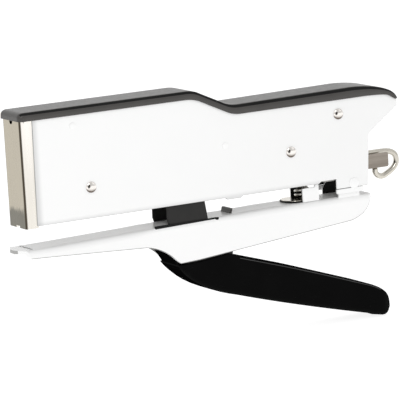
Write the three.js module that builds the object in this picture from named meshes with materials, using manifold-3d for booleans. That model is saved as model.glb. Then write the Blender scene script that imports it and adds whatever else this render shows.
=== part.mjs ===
// Plier stapler, built as the real one comes apart on a bench.
// Millimetres, +X from the nose to the rear, +Z up and square to the magazine, +Y to the right.
// Every piece is drawn from the foot of the nose (x = 0, z = 0) and the mid-plane (y = 0);
// the whole assembly is then moved so that its box stands centred on the origin.
import * as THREE from 'three';
import { mergeVertices } from 'three/addons/utils/BufferGeometryUtils.js';
import Module from 'manifold-3d';

const wasm = await Module();
wasm.setup();

// ---------- driving dimensions ----------
const GAP = 0.3;                 // clearance between neighbouring pieces
const SHEET = 0.9;               // pressed steel thickness
const BODY_HALF = 8.5;           // outside face of the side plates
const BODY_INNER = 7.5;          // inside face of the side plates
const COVER_HALF = 9.4;
const COVER_INNER = 8.8;
const NOSE_HALF = 8.3;
const NOSE_TOP = 45.0;
const ARM_HALF = 8.3;
const ARM_INNER = 7.4;
const CHEEK_HALF = 7.2;          // lever cheeks and arm ears, outside
const CHEEK_INNER = 6.3;
const GRIP_HALF = 8.4;
const GRIP_INNER = 7.5;
const MAGAZINE_HALF = 7.1;
const MAGAZINE_INNER = 6.4;
const MAGAZINE_FLOOR = 0.6;
const MAGAZINE_TOP = 9.9;
const RAIL_HALF = 5.3;
const RAIL_INNER = 4.5;
const RAIL_FLOOR = 3.0;
const RAIL_TOP = 9.2;
const ROCKER_HALF = 5.8;
const ROCKER_INNER = 4.6;
const PIN_RADIUS = 1.5;
const HOLE_RADIUS = PIN_RADIUS + GAP;
const HEAD_RADIUS = 2.3;
const ROD_RADIUS = 1.25;
const ROD_AXIS = 6.4;            // rod height inside the rail
const HOOK_AXIS = 8.8;           // rod height where it leaves the body
const FRONT_RIVET = [29.5, 13.3];
const ROCKER_PIVOT = [124.3, 15.8];
const REAR_RIVET = [148.3, 29.1];
const FRONT_TIE = [22.8, 39.4];
const MIDDLE_TIE = [92.9, 22.3];
const ARM_PIVOT = [154.3, -1.4];
const LEVER_PIVOT = [94, -15.5];
const LINK_PIN = [74, 18.3];
const OPENING_SPRING_X = 133;
const ROUND = 20;                // sides of a small round

// ---------- colours ----------
const paint = (color, roughness, metalness) => new THREE.MeshStandardMaterial({ color, roughness, metalness });
const WHITE_PAINT = paint(0xf4f4f2, 0.25, 0.0);
const NICKEL = paint(0xc9bfae, 0.28, 1.0);
const STEEL = paint(0x96897c, 0.4, 1.0);
const SPRING_STEEL = paint(0xb5b3ae, 0.3, 1.0);
const BLACK_COVER = paint(0x4a4744, 0.5, 0.0);
const BLACK_LEVER = paint(0x2b2a29, 0.55, 0.2);
const BLACK_GRIP = paint(0x0b0b0b, 0.15, 0.0);

// ---------- solids ----------
function solid(geometry) {
  const bare = geometry.clone();
  bare.deleteAttribute('normal');
  bare.deleteAttribute('uv');
  const merged = mergeVertices(bare, 1e-4);
  return new wasm.Manifold(new wasm.Mesh({
    numProp: 3,
    vertProperties: new Float32Array(merged.attributes.position.array),
    triVerts: new Uint32Array(merged.index.array),
  }));
}

function geometryOf(body) {
  const mesh = body.getMesh();
  const geometry = new THREE.BufferGeometry();
  geometry.setAttribute('position', new THREE.BufferAttribute(mesh.vertProperties, 3));
  geometry.setIndex(new THREE.BufferAttribute(mesh.triVerts, 1));
  geometry.computeVertexNormals();
  return geometry;
}

const join = (...bodies) => bodies.reduce((sum, body) => sum.add(body));
const cut = (body, ...tools) => tools.reduce((rest, tool) => rest.subtract(tool), body);

// A side outline in (x, z), given depth from y = low to y = high.
function slab(outline, low, high, curveSegments = 5) {
  const options = { depth: high - low, bevelEnabled: false, curveSegments };
  const geometry = new THREE.ExtrudeGeometry(outline, options);
  geometry.rotateX(Math.PI / 2);
  geometry.translate(0, high, 0);
  return solid(geometry);
}

// A plan outline in (x, y), given height from z = low to z = high.
function prism(outline, low, high, curveSegments = 6) {
  const geometry = new THREE.ExtrudeGeometry(outline, { depth: high - low, bevelEnabled: false, curveSegments });
  geometry.translate(0, 0, low);
  return solid(geometry);
}

function block(x0, x1, y0, y1, z0, z1) {
  const geometry = new THREE.BoxGeometry(x1 - x0, y1 - y0, z1 - z0);
  geometry.translate((x0 + x1) / 2, (y0 + y1) / 2, (z0 + z1) / 2);
  return solid(geometry);
}

// The same block on both sides of the mid-plane.
const blockPair = (x0, x1, y0, y1, z0, z1) => join(block(x0, x1, y0, y1, z0, z1), block(x0, x1, -y1, -y0, z0, z1));

// A round piece along Y at (x, z); profile is a list of [radius, y] from axis to axis.
function turned([x, z], profile, sides = ROUND) {
  const geometry = new THREE.LatheGeometry(profile.map(([r, y]) => new THREE.Vector2(r, y)), sides);
  geometry.translate(x, 0, z);
  return solid(geometry);
}

const rod = (at, radius, low, high, sides = ROUND) => turned(at, [[0, low], [radius, low], [radius, high], [0, high]], sides);

const polygon = (points) => new THREE.Shape(points.map(([x, z]) => new THREE.Vector2(x, z)));

// A round wire of the given radius along a curve.
function wire(curve, radius, steps, sides) {
  const section = new THREE.Shape();
  section.absarc(0, 0, radius, 0, 2 * Math.PI);
  const options = { steps, bevelEnabled: false, extrudePath: curve, curveSegments: sides / 2 };
  return solid(new THREE.ExtrudeGeometry(section, options));
}

class Coil extends THREE.Curve {
  constructor(at, turns) {
    super();
    this.at = at;
    this.turns = turns;
  }

  getPoint(t, target = new THREE.Vector3()) {
    return target.copy(this.at(t, t * this.turns * 2 * Math.PI));
  }
}

const assembly = new THREE.Group();

function piece(name, body, material) {
  const mesh = new THREE.Mesh(geometryOf(body), material);
  mesh.name = name;
  assembly.add(mesh);
}

// ---------- outlines ----------
const PLATE_FRONT = 4.0;
const BODY_BOTTOM = 0.4;
const WINDOW_X = [137.6, 145.8];
const WINDOW_TOP = 1.2;
const FOOT_BOTTOM = -5.0;
const REAR_TIP = [177.6, 29.4];

// Top of the cover: level at the front, a ramp, level again, then a falling round tail.
function coverTop(outline, drop) {
  outline.lineTo(75.5 - drop * 0.2, 47.4 - drop);
  outline.quadraticCurveTo(79.5 - drop * 0.3, 47.4 - drop, 82.5 - drop * 0.5, 45.7 - drop);
  outline.lineTo(93.4 - drop * 0.5, 40.5 - drop);
  outline.quadraticCurveTo(96.4 - drop * 0.3, 39.1 - drop, 100, 39.15 - drop);
  outline.lineTo(155, 39.9 - drop);
  outline.quadraticCurveTo(168, 39.6 - drop, 174.8 - drop * 0.6, 36.1 - drop * 0.9);
}

function sidePlateOutline() {
  const roof = 1.8;
  const outline = new THREE.Shape();
  outline.moveTo(PLATE_FRONT, BODY_BOTTOM);
  outline.lineTo(PLATE_FRONT, 47.4 - roof);
  coverTop(outline, roof);
  outline.quadraticCurveTo(176.6, 33.2, REAR_TIP[0], 31.6);
  outline.quadraticCurveTo(178.0, 30.4, REAR_TIP[0], REAR_TIP[1]);
  outline.lineTo(163.9, 19.8);
  outline.quadraticCurveTo(162.9, 19.0, 162.8, 17.6);
  outline.lineTo(161.3, -3.8);
  outline.quadraticCurveTo(161.2, FOOT_BOTTOM, 160.0, FOOT_BOTTOM);
  outline.lineTo(147.6, FOOT_BOTTOM);
  outline.quadraticCurveTo(WINDOW_X[1], -5.2, WINDOW_X[1], -3.6);
  outline.lineTo(WINDOW_X[1], WINDOW_TOP);
  outline.lineTo(WINDOW_X[0] + 0.6, WINDOW_TOP);
  outline.lineTo(WINDOW_X[0] - 0.4, BODY_BOTTOM);
  outline.lineTo(100.2, BODY_BOTTOM);
  outline.lineTo(99.4, BODY_BOTTOM - 0.8);
  outline.lineTo(92.6, BODY_BOTTOM - 0.8);
  outline.lineTo(91.8, BODY_BOTTOM);
  return outline;
}

function coverOutline() {
  const outline = new THREE.Shape();
  outline.moveTo(-1.5, 43.8);
  outline.lineTo(-1.5, 45.6);
  outline.quadraticCurveTo(-1.5, 47.4, 1.0, 47.4);
  coverTop(outline, 0);
  outline.quadraticCurveTo(177.8, 34.2, 178.6, 32.3);
  outline.lineTo(175.2, 32.7);
  outline.quadraticCurveTo(172.2, 35.1, 167.5, 35.2);
  outline.lineTo(101.5, 35.0);
  outline.quadraticCurveTo(97.4, 34.9, 94.3, 36.5);
  outline.lineTo(82.0, 42.4);
  outline.quadraticCurveTo(78.9, 43.8, 75.0, 43.8);
  return outline;
}

function coverHollowOutline() {
  const roof = 1.5;
  const below = 20;
  const outline = new THREE.Shape();
  outline.moveTo(-GAP, below);
  outline.lineTo(-GAP, 47.4 - roof);
  coverTop(outline, roof);
  outline.quadraticCurveTo(177.2, 33.4, 178.1, 32.0);
  outline.lineTo(178.1, below);
  return outline;
}

// Arm seen from the side: sloping deck, flanges that deepen at the lever.
const DECK_FRONT = -9.3;
const DECK_REAR = -6.8;
const DECK_LEVEL_X = 112;
const deckAt = (x) => DECK_FRONT + (DECK_REAR - DECK_FRONT) * Math.min(1, (x + 4) / (DECK_LEVEL_X + 4));

function armOutline() {
  const outline = new THREE.Shape();
  outline.moveTo(-5, deckAt(-5));
  outline.lineTo(-5, deckAt(-5) - SHEET);
  outline.lineTo(-1.6, deckAt(-1.6) - SHEET);
  outline.lineTo(0.2, -12.7);
  outline.lineTo(9, -13.1);
  outline.lineTo(53.5, -15.5);
  outline.quadraticCurveTo(60.5, -16.8, 65.5, -21.2);
  outline.quadraticCurveTo(67.5, -23.4, 69.0, -24.3);
  outline.lineTo(78.0, -23.9);
  outline.lineTo(152.0, -17.3);
  outline.quadraticCurveTo(160.4, -14.6, 161.6, -8.4);
  outline.lineTo(161.2, DECK_REAR);
  outline.lineTo(DECK_LEVEL_X, DECK_REAR);
  return outline;
}

function armHollowOutline() {
  const below = -30;
  return polygon([
    [-6, deckAt(-6) - SHEET], [DECK_LEVEL_X, DECK_REAR - SHEET], [170, DECK_REAR - SHEET],
    [170, below], [-6, below],
  ]);
}

// Plan of the arm or of the anvil under it: parallel sides with a rounded front.
function armPlan(half, tip, rear) {
  const outline = new THREE.Shape();
  outline.moveTo(rear, half);
  outline.lineTo(0.6, half);
  outline.quadraticCurveTo(-1.6, half, tip + 1.5, half * 0.58);
  outline.quadraticCurveTo(tip, half * 0.3, tip, 0);
  outline.quadraticCurveTo(tip, -half * 0.3, tip + 1.5, -half * 0.58);
  outline.quadraticCurveTo(-1.6, -half, 0.6, -half);
  outline.lineTo(rear, -half);
  return outline;
}

// Lever: cheeks that rise into the body, and a channel that runs back inside the grip.
function leverOutline() {
  const outline = new THREE.Shape();
  outline.moveTo(65.2, 18.0);
  outline.quadraticCurveTo(66.5, 22.4, 71.0, 22.4);
  outline.lineTo(77.0, 22.4);
  outline.quadraticCurveTo(81.0, 22.0, 81.6, 18.0);
  outline.lineTo(82.6, 0.2);
  outline.lineTo(84.0, -9.6);
  outline.lineTo(96.0, -10.4);
  outline.quadraticCurveTo(100.6, -11.4, 100.4, -16.0);
  outline.quadraticCurveTo(99.4, -21.4, 94.8, -22.4);
  outline.quadraticCurveTo(93.2, -26.2, 98.6, -27.8);
  outline.lineTo(140.0, -42.5);
  outline.lineTo(138.0, -51.0);
  outline.lineTo(96.0, -38.9);
  outline.quadraticCurveTo(76.5, -34.5, 71.6, -24.6);
  outline.quadraticCurveTo(67.2, -14.6, 64.5, -6.0);
  return outline;
}

function leverHollowOutline() {
  const lift = 1.5;
  return polygon([
    [50, 30], [50, -20], [73.5, -24.5 + lift], [80, -32.5 + lift], [96, -38.6 + lift],
    [138, -50.8 + lift], [150, -50.8 + lift], [150, 30],
  ]);
}

// Grip: a trough, open above, with a rounded tail.
function gripOutline() {
  const outline = new THREE.Shape();
  outline.moveTo(67.8, -24.9);
  outline.lineTo(78.2, -24.6);
  outline.lineTo(92.6, -23.2);
  outline.lineTo(97.0, -25.2);
  outline.lineTo(125.5, -34.2);
  outline.lineTo(160.5, -46.7);
  outline.quadraticCurveTo(167.6, -50.4, 169.4, -56.0);
  outline.quadraticCurveTo(169.8, -61.8, 165.2, -60.8);
  outline.quadraticCurveTo(124.0, -50.6, 95.8, -41.8);
  outline.quadraticCurveTo(74.6, -36.4, 67.8, -24.9);
  return outline;
}

function gripHollowOutline() {
  const outline = new THREE.Shape();
  outline.moveTo(69.4, -22);
  outline.lineTo(69.6, -25.2);
  outline.quadraticCurveTo(75.6, -34.8, 96.2, -40.2);
  outline.quadraticCurveTo(124.4, -49.0, 165.0, -59.1);
  outline.quadraticCurveTo(167.9, -59.4, 167.7, -56.0);
  outline.quadraticCurveTo(166.2, -51.4, 159.6, -48.0);
  outline.lineTo(159.6, -22);
  return outline;
}

// ---------- body ----------
const heads = [[0, 8.6], [HEAD_RADIUS, 8.6], [2.0, 9.0], [1.2, 9.35], [0, 9.45]];

function sidePlate(name, side) {
  const low = side > 0 ? BODY_INNER : -BODY_HALF;
  const holes = [FRONT_RIVET, ROCKER_PIVOT, REAR_RIVET, FRONT_TIE, MIDDLE_TIE, ARM_PIVOT];
  const tools = holes.map((at) => rod(at, HOLE_RADIUS, low - 1, low + 2));
  piece(name, cut(slab(sidePlateOutline(), low, low + 1), ...tools), WHITE_PAINT);
}
sidePlate('side_plate_left', -1);
sidePlate('side_plate_right', 1);

function topCover() {
  const shell = slab(coverOutline(), -COVER_HALF, COVER_HALF);
  piece('top_cover', cut(shell, slab(coverHollowOutline(), -COVER_INNER, COVER_INNER)), BLACK_COVER);
}
topCover();

function noseChannel() {
  const foot = -0.4;
  const wall = 1.2;
  const deep = 3.7;
  const corner = 1.2;
  const wingBottom = 10.2;
  const wingEnd = 14;
  const outline = new THREE.Shape();
  outline.moveTo(deep, NOSE_HALF);
  outline.lineTo(corner, NOSE_HALF);
  outline.quadraticCurveTo(0, NOSE_HALF, 0, NOSE_HALF - corner);
  outline.lineTo(0, -NOSE_HALF + corner);
  outline.quadraticCurveTo(0, -NOSE_HALF, corner, -NOSE_HALF);
  outline.lineTo(deep, -NOSE_HALF);
  const channel = cut(prism(outline, foot, NOSE_TOP), block(wall, 9, -ARM_INNER, ARM_INNER, -2, 50));
  const steps = blockPair(deep - 0.8, deep, CHEEK_INNER, NOSE_HALF - 0.2, wingBottom, NOSE_TOP);
  const wings = blockPair(deep - 0.8, wingEnd, CHEEK_INNER, CHEEK_HALF, wingBottom, NOSE_TOP);
  const sightHole = solid(new THREE.CylinderGeometry(1.4, 1.4, 6, 12).rotateZ(Math.PI / 2).translate(0, 0, 43.6));
  const footNotch = block(-1, 2, -0.4, 3.0, -2, foot + 1.0);
  piece('nose_channel', cut(join(channel, steps, wings), sightHole, footNotch), NICKEL);
}
noseChannel();

function magazineChannel() {
  const outline = new THREE.Shape();
  outline.moveTo(2.8, MAGAZINE_FLOOR);
  outline.lineTo(2.8, MAGAZINE_TOP);
  outline.lineTo(24, MAGAZINE_TOP);
  outline.lineTo(24, 14);
  outline.quadraticCurveTo(24.5, 17.4, 29.5, 17.4);
  outline.quadraticCurveTo(34.5, 17.4, 35, 14);
  outline.lineTo(35, MAGAZINE_TOP);
  outline.lineTo(118.5, MAGAZINE_TOP);
  outline.lineTo(118.5, 16);
  outline.quadraticCurveTo(119, 20.4, 124.3, 20.4);
  outline.quadraticCurveTo(129.6, 20.4, 130, 16);
  outline.lineTo(130, MAGAZINE_TOP);
  outline.lineTo(149, MAGAZINE_TOP);
  outline.lineTo(149, MAGAZINE_FLOOR);
  const shell = slab(outline, -MAGAZINE_HALF, MAGAZINE_HALF);
  const hollow = block(0, 152, -MAGAZINE_INNER, MAGAZINE_INNER, MAGAZINE_FLOOR + 0.8, 30);
  const leverWindows = blockPair(54, 90, 6.0, 9, -1, 12);
  const boxRelief = blockPair(128, 140, 6.0, 9, -1, 3.2);
  const rivetHoles = [FRONT_RIVET, ROCKER_PIVOT].map((at) => rod(at, HOLE_RADIUS, -9, 9));
  piece('magazine_channel', cut(shell, hollow, leverWindows, boxRelief, ...rivetHoles), STEEL);
}
magazineChannel();

function stapleRail() {
  const front = 2.9;
  const rear = 173.9;
  const shell = block(front, rear, -RAIL_HALF, RAIL_HALF, RAIL_FLOOR, RAIL_TOP);
  const hollow = block(front - 1, rear + 1, -RAIL_INNER, RAIL_INNER, RAIL_FLOOR + 0.8, RAIL_TOP + 1);
  const feet = [14, 104, 138].map((x) => block(x - 3, x + 3, -3, 3, MAGAZINE_FLOOR + 0.8 + GAP, RAIL_FLOOR + 0.1));
  piece('staple_rail', join(cut(shell, hollow), ...feet), STEEL);
}
stapleRail();

// Short dome-headed rivets hold the plates to the ears of the magazine at the front.
function frontRivet(name, side) {
  const profile = [[0, 6.0], [PIN_RADIUS, 6.0], [PIN_RADIUS, 8.6], ...heads.slice(1)];
  const body = turned(FRONT_RIVET, profile);
  piece(name, side > 0 ? body : body.mirror([0, 1, 0]), NICKEL);
}
frontRivet('front_rivet_left', -1);
frontRivet('front_rivet_right', 1);

// Through pins with a dome or a flat head at each end.
function throughPin(name, at, head, material) {
  const near = head.map(([r, y]) => [r, -y]).reverse();
  const shank = [[PIN_RADIUS, near.at(-1)[1]], [PIN_RADIUS, head[0][1]]];
  piece(name, turned(at, [...near.slice(0, -1), ...shank, ...head.slice(1)]), material);
}
throughPin('rocker_axle', ROCKER_PIVOT, heads, NICKEL);
throughPin('rear_rivet', REAR_RIVET, heads, NICKEL);
const boss = [[0, 8.6], [HEAD_RADIUS, 8.6], [HEAD_RADIUS - 0.3, 9.1], [0, 9.2]];
throughPin('arm_pivot_pin', ARM_PIVOT, boss, WHITE_PAINT);
piece('front_tie_pin', rod(FRONT_TIE, 1.3, -8.8, 8.8), WHITE_PAINT);
piece('middle_tie_pin', rod(MIDDLE_TIE, 1.2, -8.8, 8.8), WHITE_PAINT);

function sleeve(name, at, bore, outside, half) {
  piece(name, cut(rod(at, outside, -half, half), rod(at, bore, -half - 1, half + 1)), STEEL);
}
sleeve('rocker_bush', ROCKER_PIVOT, HOLE_RADIUS, 2.6, 6.1);
sleeve('rear_spacer', REAR_RIVET, HOLE_RADIUS, 3.2, 7.2);
sleeve('front_spacer', FRONT_TIE, 1.6, 3.0, 6.0);

// ---------- driver and rocker ----------
const BLADE_X = [1.6, 2.4];
const TONGUE_Z = [21.4, 24.4];

function driverBlade() {
  const plate = block(BLADE_X[0], BLADE_X[1], -6, 6, MAGAZINE_TOP, 28);
  const slot = block(0, 4, -3.4, 3.4, TONGUE_Z[0] - 0.5, TONGUE_Z[1] + 0.5);
  piece('driver_blade', cut(plate, slot), STEEL);
}
driverBlade();

function driverRocker() {
  const topLine = [[16, 24.4], [60, 23.7], [75, 23.2], [86, 20.2], [129, 19.9]];
  const wall = polygon([...topLine, [129, 12.3], [112, 12.8], [78, 15.3], [56, 17.3], [16, 20.9]]);
  const webEnd = 114;
  const underWeb = [[14, 23.2], ...topLine.slice(0, 4).map(([x, z]) => [x, z - 1.2]), [webEnd, 18.8]];
  const inside = polygon([...underWeb, [webEnd, 30], [132, 30], [132, 5], [14, 5]]);
  const bar = cut(slab(wall, -ROCKER_HALF, ROCKER_HALF), slab(inside, -ROCKER_INNER, ROCKER_INNER));
  const tongue = block(1.7, 18, -3, 3, TONGUE_Z[0], TONGUE_Z[1]);
  const [pinX, pinZ] = LINK_PIN;
  const reach = 8.7;
  const rise = 1.7;
  const play = PIN_RADIUS + 0.55;
  const slot = polygon([
    [pinX + play, pinZ - play], [pinX + play, pinZ + play - 0.2], [pinX, pinZ + play],
    [pinX - reach, pinZ + rise + play], [pinX - reach - play, pinZ + rise + play],
    [pinX - reach - play, pinZ + rise - play + 0.2], [pinX - reach, pinZ + rise - play], [pinX, pinZ - play],
  ]);
  const bore = rod(ROCKER_PIVOT, 2.9, -9, 9);
  piece('driver_rocker', cut(join(bar, tongue), slab(slot, -9, 9), bore), STEEL);
}
driverRocker();

function rockerSpring() {
  const [x, z] = ROCKER_PIVOT;
  const radius = 3.35;
  const helix = (t, angle) => new THREE.Vector3(
    x + radius * Math.cos(angle),
    -2.6 + 5.2 * t,
    z + radius * Math.sin(angle),
  );
  piece('rocker_spring', wire(new Coil(helix, 4), 0.35, 48, 6), SPRING_STEEL);
}
rockerSpring();

// ---------- pusher ----------
const ROD_FRONT = 5.4;

function pusherRod() {
  const points = [
    [ROD_FRONT, ROD_AXIS], [70, ROD_AXIS], [140, ROD_AXIS], [148, ROD_AXIS + 0.3], [154, HOOK_AXIS - 0.3],
    [161, HOOK_AXIS], [172.5, HOOK_AXIS + 0.1], [177.4, HOOK_AXIS - 0.3], [180.3, 6.9], [181.1, 3.9],
    [179.6, 1.3], [176.6, -0.6], [173.6, -1.8], [171.2, -1.1], [170.2, 0.3], [170.1, 1.6],
  ];
  const path = new THREE.CatmullRomCurve3(points.map(([x, z]) => new THREE.Vector3(x, 0, z)), false, 'centripetal');
  const front = solid(new THREE.CylinderGeometry(2.1, 2.1, 1.6, 12).rotateZ(Math.PI / 2)
    .translate(ROD_FRONT + 0.8, 0, ROD_AXIS));
  piece('pusher_rod', join(wire(path, ROD_RADIUS, 64, 8), front), NICKEL);
}
pusherRod();

const FOLLOWER_X = [4.0, 16.0];

function follower() {
  const [front, rear] = FOLLOWER_X;
  const shoe = block(front, rear, -4.1, 4.1, RAIL_FLOOR + 1.1, RAIL_TOP);
  const shoulders = block(front, rear, -6.1, 6.1, RAIL_TOP + GAP, RAIL_TOP + 1.3);
  const neck = block(front, rear, -4.1, 4.1, RAIL_TOP - 0.5, RAIL_TOP + 1);
  const skirts = blockPair(front, rear, RAIL_HALF + GAP, 6.1, 3.4, RAIL_TOP + 1);
  const along = (radius, x0, x1) => solid(new THREE.CylinderGeometry(radius, radius, x1 - x0, 12)
    .rotateZ(Math.PI / 2).translate((x0 + x1) / 2, 0, ROD_AXIS));
  const body = cut(
    join(shoe, shoulders, neck, skirts),
    along(ROD_RADIUS + GAP, front - 1, rear + 1),
    along(2.1 + GAP, front - 1, ROD_FRONT + 2.0),
  );
  piece('follower', body, STEEL);
}
follower();

function rodCollar() {
  const ring = (radius, x0, x1) => solid(new THREE.CylinderGeometry(radius, radius, x1 - x0, 16)
    .rotateZ(Math.PI / 2).translate((x0 + x1) / 2, 0, ROD_AXIS));
  piece('rod_collar', cut(ring(2.4, 134.5, 138), ring(ROD_RADIUS + GAP, 130, 142)), STEEL);
}
rodCollar();

function followerSpring() {
  const start = FOLLOWER_X[1] + 0.8;
  const end = 133.6;
  const radius = 1.95;
  const helix = (t, angle) => new THREE.Vector3(
    start + (end - start) * t,
    radius * Math.cos(angle),
    ROD_AXIS + radius * Math.sin(angle),
  );
  piece('follower_spring', wire(new Coil(helix, 22), 0.3, 176, 4), SPRING_STEEL);
}
followerSpring();

// ---------- anvil arm ----------
function anvilArm() {
  const shell = cut(slab(armOutline(), -ARM_HALF, ARM_HALF), slab(armHollowOutline(), -ARM_INNER, ARM_INNER));
  const bent = shell.intersect(prism(armPlan(ARM_HALF, -4.2, 170), -40, 0));
  const ear = new THREE.Shape();
  ear.moveTo(147.2, DECK_REAR - 0.6);
  ear.lineTo(147.2, -4.2);
  ear.lineTo(151.2, 0.4);
  ear.quadraticCurveTo(154.3, 3.6, 157.2, 0.4);
  ear.lineTo(157.6, DECK_REAR - 0.6);
  const ears = join(slab(ear, CHEEK_INNER, CHEEK_HALF), slab(ear, -CHEEK_HALF, -CHEEK_INNER));
  const hook = slab(polygon([[95.4, -8], [96.4, -8], [97.2, -5.1], [96.3, -5.1]]), -4.2, 3.6);
  const slots = blockPair(58.3, 87.7, 6.0, 7.6, -10, -6);
  const anvilWindow = block(0.9, 3.3, -6.4, 6.4, -12, -6);
  const body = cut(
    join(bent, ears, hook), slots, anvilWindow,
    rod(ARM_PIVOT, HOLE_RADIUS, -9, 9), rod(LEVER_PIVOT, 2.3, -9, 9),
  );
  piece('anvil_arm', body, WHITE_PAINT);
}
anvilArm();

function anvilPlate() {
  const top = (x) => deckAt(x) - SHEET - GAP;
  const side = polygon([[-5, top(-5)], [13, top(13)], [13, top(13) - 1.2], [-5, top(-5) - 1.2]]);
  const plate = slab(side, -7, 7).intersect(prism(armPlan(6.9, -4.0, 13), -40, 0));
  const grooves = blockPair(1.5, 2.7, 0.5, 6.2, top(2) - 0.4, 0);
  piece('anvil_plate', cut(plate, grooves, rivetShank(8.5, -40, 0, 1.3)), STEEL);
}

function rivetShank(x, low, high, radius) {
  const geometry = new THREE.CylinderGeometry(radius, radius, high - low, 12).rotateX(Math.PI / 2);
  return solid(geometry.translate(x, 0, (low + high) / 2));
}

function anvilRivet() {
  const seat = deckAt(8.5) - SHEET - GAP - 1.2 - GAP;
  const shank = rivetShank(8.5, seat - 0.1, deckAt(8.5) - SHEET - 0.15, 1.0);
  piece('anvil_rivet', join(shank, rivetShank(8.5, seat - 0.8, seat, 1.9)), STEEL);
}
anvilPlate();
anvilRivet();

const SEAT_TOP = -5.9;

function springSeat() {
  const outline = new THREE.Shape();
  outline.moveTo(136.3, 5.9);
  outline.lineTo(128.5, 5.9);
  outline.quadraticCurveTo(124.0, 5.6, 123.6, 0);
  outline.quadraticCurveTo(124.0, -5.6, 128.5, -5.9);
  outline.lineTo(136.3, -5.9);
  piece('spring_seat', prism(outline, DECK_REAR + GAP, SEAT_TOP), NICKEL);
}
springSeat();

function springBox() {
  const base = DECK_REAR + GAP;
  const cheeks = blockPair(129.7, 137.6, CHEEK_INNER, MAGAZINE_HALF, base, -0.9);
  const horns = blockPair(135.8, 137.6, CHEEK_INNER, MAGAZINE_HALF, -1.5, 1.2);
  const back = block(136.7, 137.6, -MAGAZINE_HALF, MAGAZINE_HALF, base, -2.2);
  piece('spring_box', join(cheeks, horns, back), WHITE_PAINT);
}
springBox();

function openingSpring() {
  const radius = 2.6;
  const low = SEAT_TOP + 0.9;
  const high = MAGAZINE_FLOOR - 0.9;
  const helix = (t, angle) => new THREE.Vector3(
    OPENING_SPRING_X + radius * Math.cos(angle),
    radius * Math.sin(angle),
    low + (high - low) * t,
  );
  piece('opening_spring', wire(new Coil(helix, 2.5), 0.55, 36, 6), SPRING_STEEL);
}
openingSpring();

piece('lever_pin', rod(LEVER_PIVOT, 2.0, -8.1, 8.1), STEEL);

// ---------- handle ----------
function handleLever() {
  const body = slab(leverOutline(), -CHEEK_HALF, CHEEK_HALF);
  const hollow = slab(leverHollowOutline(), -CHEEK_INNER, CHEEK_INNER);
  const gripHoles = [100, 128].map((x) => rivetShank(x, -60, -20, 1.5));
  piece('handle_lever', cut(body, hollow, rod(LINK_PIN, HOLE_RADIUS, -9, 9), rod(LEVER_PIVOT, 2.3, -9, 9), ...gripHoles), BLACK_LEVER);
}
handleLever();

piece('link_pin', rod(LINK_PIN, PIN_RADIUS, -CHEEK_HALF, CHEEK_HALF), STEEL);

function gripShell() {
  const shell = slab(gripOutline(), -GRIP_HALF, GRIP_HALF, 8);
  const hollow = slab(gripHollowOutline(), -GRIP_INNER, GRIP_INNER, 8);
  const lip = slab(polygon([[64.6, -19.8], [66.2, -20.2], [69.6, -25.6], [68.6, -27.0], [67.5, -24.4]]), -7.0, 7.0);
  const gripHoles = [100, 128].map((x) => rivetShank(x, -60, -20, 1.5));
  piece('grip_shell', cut(join(cut(shell, hollow), lip), ...gripHoles), BLACK_GRIP);
}
gripShell();

// Two rivets hold the grip to the floor of the lever.
function gripRivet(name, x) {
  const leverFloor = -37.1 - 0.2905 * (x - 96);
  const headFoot = leverFloor + 0.9;
  piece(name, join(rivetShank(x, leverFloor - 4.5, headFoot + 0.1, 1.2), rivetShank(x, headFoot, headFoot + 0.8, 2.2)), STEEL);
}
gripRivet('grip_rivet_front', 100);
gripRivet('grip_rivet_rear', 128);

// ---------- stand the box of the whole assembly on the origin ----------
const box = new THREE.Box3().setFromObject(assembly);
const middle = box.getCenter(new THREE.Vector3());
assembly.position.set(-middle.x, 0, -box.min.z);

const stapler = new THREE.Group();
stapler.add(assembly);

export default stapler;
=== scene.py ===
"""Looks of the plier stapler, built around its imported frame. Metres; outlines are drawn in millimetres."""
import math

import bmesh
import bpy
from mathutils import Matrix, Vector


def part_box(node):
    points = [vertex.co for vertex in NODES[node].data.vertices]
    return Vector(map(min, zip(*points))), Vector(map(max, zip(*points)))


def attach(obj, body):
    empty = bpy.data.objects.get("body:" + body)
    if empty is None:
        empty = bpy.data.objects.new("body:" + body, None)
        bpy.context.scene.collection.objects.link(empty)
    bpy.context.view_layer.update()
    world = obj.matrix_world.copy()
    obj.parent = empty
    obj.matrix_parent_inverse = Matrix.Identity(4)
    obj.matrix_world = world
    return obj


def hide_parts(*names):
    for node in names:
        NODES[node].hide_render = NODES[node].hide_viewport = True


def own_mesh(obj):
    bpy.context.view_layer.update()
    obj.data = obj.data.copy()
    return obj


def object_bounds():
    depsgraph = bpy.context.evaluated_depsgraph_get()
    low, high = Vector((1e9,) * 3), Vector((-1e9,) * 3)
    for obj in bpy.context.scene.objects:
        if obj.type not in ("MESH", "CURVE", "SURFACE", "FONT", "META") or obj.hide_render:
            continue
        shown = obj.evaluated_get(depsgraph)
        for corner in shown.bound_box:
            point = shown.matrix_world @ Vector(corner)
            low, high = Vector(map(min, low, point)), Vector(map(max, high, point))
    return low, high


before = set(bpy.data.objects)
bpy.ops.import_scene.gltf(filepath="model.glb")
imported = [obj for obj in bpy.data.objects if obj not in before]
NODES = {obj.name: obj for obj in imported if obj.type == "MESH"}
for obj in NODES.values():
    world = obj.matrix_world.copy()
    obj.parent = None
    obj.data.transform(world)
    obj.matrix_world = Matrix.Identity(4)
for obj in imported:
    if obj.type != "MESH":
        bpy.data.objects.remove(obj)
CAD_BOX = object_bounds()

MM = 0.001
NOSE_FOOT_DROP = 0.4                       # the nose reaches this far below the drawing's z = 0
NOSE_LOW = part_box("nose_channel")[0]
ORIGIN = Vector((NOSE_LOW[0], 0.0, NOSE_LOW[2] + NOSE_FOOT_DROP * MM))

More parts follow.
